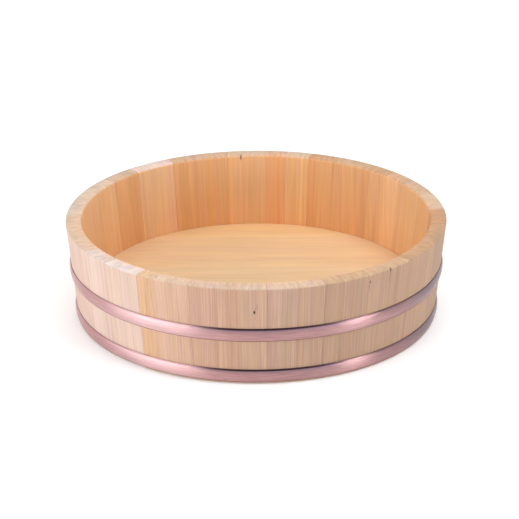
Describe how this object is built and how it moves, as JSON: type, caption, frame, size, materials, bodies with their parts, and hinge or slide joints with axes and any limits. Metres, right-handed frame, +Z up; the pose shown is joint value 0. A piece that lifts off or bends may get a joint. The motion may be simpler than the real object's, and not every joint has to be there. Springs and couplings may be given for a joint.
{
  "type": "sushi rice tub",
  "caption": "Low round wooden tub with flared stave walls, a flat plank floor and copper hoops, for cooling and dressing cooked rice.",
  "frame": {"origin": "on the ground, under the middle of the tub", "axes": "+Z up along the tub's axis, -Y towards the picture's camera, +X to the right in it"},
  "size_m": [0.3596, 0.3596, 0.095],
  "materials": {
    "pale_stave": "bare planed softwood",
    "plain_stave": "bare planed softwood",
    "warm_stave": "bare planed softwood",
    "floor": "bare planed softwood",
    "bamboo": "whittled bamboo",
    "copper": "brushed copper strip"
  },
  "bodies": {
    "root": {"stave_01": "pale_stave", "stave_02": "plain_stave", "stave_03": "plain_stave", "stave_04": "plain_stave", "stave_05": "warm_stave", "stave_06": "warm_stave", "stave_07": "pale_stave", "stave_08": "warm_stave", "stave_09": "plain_stave", "stave_10": "plain_stave", "stave_11": "warm_stave", "stave_12": "pale_stave", "stave_13": "warm_stave", "stave_14": "plain_stave", "stave_15": "pale_stave", "stave_16": "warm_stave", "stave_17": "plain_stave", "stave_18": "pale_stave", "stave_19": "plain_stave", "stave_20": "pale_stave", "stave_21": "pale_stave", "stave_22": "pale_stave", "stave_23": "warm_stave", "stave_24": "plain_stave", "stave_pin_01": "bamboo", "stave_pin_02": "bamboo", "stave_pin_03": "bamboo", "stave_pin_04": "bamboo", "stave_pin_05": "bamboo", "stave_pin_06": "bamboo", "stave_pin_07": "bamboo", "stave_pin_08": "bamboo", "stave_pin_09": "bamboo", "stave_pin_10": "bamboo", "stave_pin_11": "bamboo", "stave_pin_12": "bamboo", "stave_pin_13": "bamboo", "stave_pin_14": "bamboo", "stave_pin_15": "bamboo", "stave_pin_16": "bamboo", "stave_pin_17": "bamboo", "stave_pin_18": "bamboo", "stave_pin_19": "bamboo", "stave_pin_20": "bamboo", "stave_pin_21": "bamboo", "stave_pin_22": "bamboo", "stave_pin_23": "bamboo", "stave_pin_24": "bamboo", "floor_plank_1": "floor", "floor_plank_2": "floor", "floor_plank_3": "floor", "floor_plank_4": "floor", "floor_pin_1": "bamboo", "floor_pin_2": "bamboo", "floor_pin_3": "bamboo", "floor_pin_4": "bamboo", "floor_pin_5": "bamboo", "floor_pin_6": "bamboo", "upper_hoop": "copper", "lower_hoop": "copper"}
  },
  "joints": []
}
